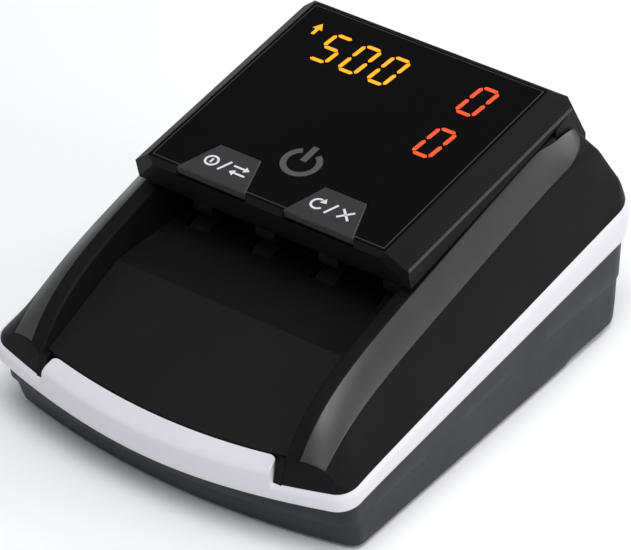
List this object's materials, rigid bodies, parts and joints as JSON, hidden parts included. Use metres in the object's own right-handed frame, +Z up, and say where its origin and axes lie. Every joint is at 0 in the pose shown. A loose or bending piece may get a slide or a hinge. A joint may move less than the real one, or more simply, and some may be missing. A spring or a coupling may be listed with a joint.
{
  "type": "banknote counting machine",
  "caption": "Compact desktop banknote detector and counter: sloping feed tray between raised cheeks, hinged head with lit digit panel and two keys, roller drive inside.",
  "frame": {"origin": "on the table under the middle of the machine, at the bottom of the rubber feet", "axes": "+X to the right seen from the front, -Y towards the person feeding notes, +Z up"},
  "size_m": [0.1272, 0.1574, 0.0826],
  "materials": {
    "case_dark": "fine moulded texture",
    "trim_white": "smooth satin",
    "housing_black": "fine moulded texture",
    "strip_satin": "satin metallic paint",
    "foot_rubber": "matte",
    "screw_steel": "zinc plated",
    "frame_steel": "zinc plated sheet",
    "guide_black": "smooth",
    "bush_nylon": "natural nylon",
    "shaft_steel": "ground",
    "roller_rubber": "matte, finely ribbed",
    "gear_nylon": "natural nylon",
    "belt_rubber": "matte",
    "motor_steel": "plated can",
    "disc_black": "matte",
    "board_green": "solder mask",
    "chip_black": "matte",
    "socket_steel": "plated",
    "window_dark": "polished dark window",
    "panel_gloss": "polished",
    "mark_grey": "printed, satin",
    "amber_light": "lit",
    "red_light": "lit",
    "module_dark": "matte",
    "key_grey": "satin"
  },
  "bodies": {
    "base": {"bottom_case": "case_dark", "trim_band": "trim_white", "upper_housing": "housing_black", "strip_left": "strip_satin", "strip_right": "strip_satin", "rubber_feet": "foot_rubber", "case_screws": "screw_steel", "drive_frame": "frame_steel", "lower_guide": "guide_black", "shaft_bushes": "bush_nylon", "drive_belt": "belt_rubber", "drive_motor": "motor_steel", "encoder_sensor": "chip_black", "main_board": "board_green", "board_parts": "chip_black", "power_inlet": "chip_black", "update_port": "socket_steel", "lower_sensor_bar": "window_dark", "hinge_pins": "shaft_steel"},
    "head": {"head_cover": "housing_black", "display_panel": "panel_gloss", "power_mark": "mark_grey", "amber_digits": "amber_light", "red_digits": "red_light", "amber_arrow": "amber_light", "display_board": "board_green", "digit_modules": "module_dark", "key_switches": "module_dark", "upper_guide": "guide_black", "upper_sensor_bar": "window_dark", "head_screws": "screw_steel"},
    "key_left": {"key_left": "key_grey"},
    "key_right": {"key_right": "key_grey"},
    "front_drive": {"front_shaft": "shaft_steel", "front_rollers": "roller_rubber", "front_pulley": "gear_nylon", "drive_gear": "gear_nylon"},
    "rear_drive": {"rear_shaft": "shaft_steel", "rear_rollers": "roller_rubber", "rear_pulley": "gear_nylon", "encoder_disc": "disc_black"},
    "motor_rotor": {"motor_shaft": "shaft_steel", "motor_pinion": "gear_nylon"},
    "front_pinch": {"front_pinch_axle": "shaft_steel", "front_pinch_rollers": "roller_rubber"},
    "rear_pinch": {"rear_pinch_axle": "shaft_steel", "rear_pinch_rollers": "roller_rubber"}
  },
  "joints": [
    {"name": "cover_hinge", "type": "hinge", "parent": "base", "child": "head", "pos_m": [0, 0.0614, 0.06], "axis": [-1, 0, 0], "range_deg": [0, 45]},
    {"name": "key_left_press", "type": "slide", "parent": "head", "child": "key_left", "axis": [0, 0.1283, -0.9917], "range_m": [0, 0.0008], "stiffness_N_per_m": 400, "springref_m": -0.001},
    {"name": "key_right_press", "type": "slide", "parent": "head", "child": "key_right", "axis": [0, 0.1283, -0.9917], "range_m": [0, 0.0008], "stiffness_N_per_m": 400, "springref_m": -0.001},
    {"name": "front_shaft_spin", "type": "hinge", "parent": "base", "child": "front_drive", "pos_m": [0, -0.004, 0.0349], "axis": [1, 0, 0], "continuous": true},
    {"name": "rear_shaft_spin", "type": "hinge", "parent": "base", "child": "rear_drive", "pos_m": [0, 0.042, 0.0349], "axis": [1, 0, 0], "continuous": true},
    {"name": "motor_spin", "type": "hinge", "parent": "base", "child": "motor_rotor", "pos_m": [0, 0.0132, 0.02285], "axis": [1, 0, 0], "continuous": true},
    {"name": "front_pinch_spin", "type": "hinge", "parent": "head", "child": "front_pinch", "pos_m": [0, -0.004, 0.0482], "axis": [1, 0, 0], "continuous": true},
    {"name": "rear_pinch_spin", "type": "hinge", "parent": "head", "child": "rear_pinch", "pos_m": [0, 0.042, 0.0482], "axis": [1, 0, 0], "continuous": true}
  ],
  "couplings": [
    {"joint": "rear_shaft_spin", "follows": "front_shaft_spin", "ratio": 1},
    {"joint": "motor_spin", "follows": "front_shaft_spin", "ratio": -3.3333}
  ]
}
